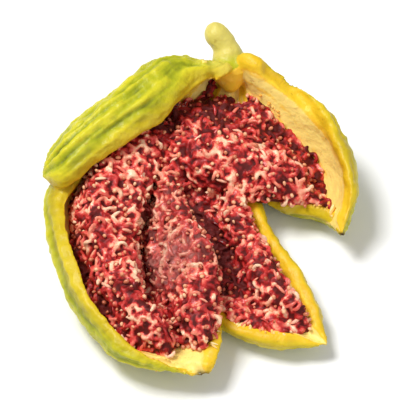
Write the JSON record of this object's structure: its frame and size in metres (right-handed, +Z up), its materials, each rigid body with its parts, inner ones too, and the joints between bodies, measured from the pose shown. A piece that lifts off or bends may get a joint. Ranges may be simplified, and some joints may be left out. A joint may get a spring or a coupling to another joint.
{
  "type": "dried fig",
  "caption": "Dried fig slit open from the eye into curled lobes joined at the stem, with a short bent stem and seedy pulp lining the inside.",
  "frame": {"origin": "bottom centre of the bounding box, on the surface that the fruit rests on", "axes": "+Z up from the resting surface, +Y towards the stem, +X to the right of the open lobes"},
  "size_m": [0.0522, 0.063, 0.0209],
  "materials": {
    "fig_skin": "yellow green ribbed skin with golden rims, satin",
    "fig_pulp": "moist crimson pulp, glossy",
    "fig_seed": "golden tan seeds, satin"
  },
  "bodies": {
    "root": {"dried_fig": "fig_skin"}
  },
  "joints": []
}
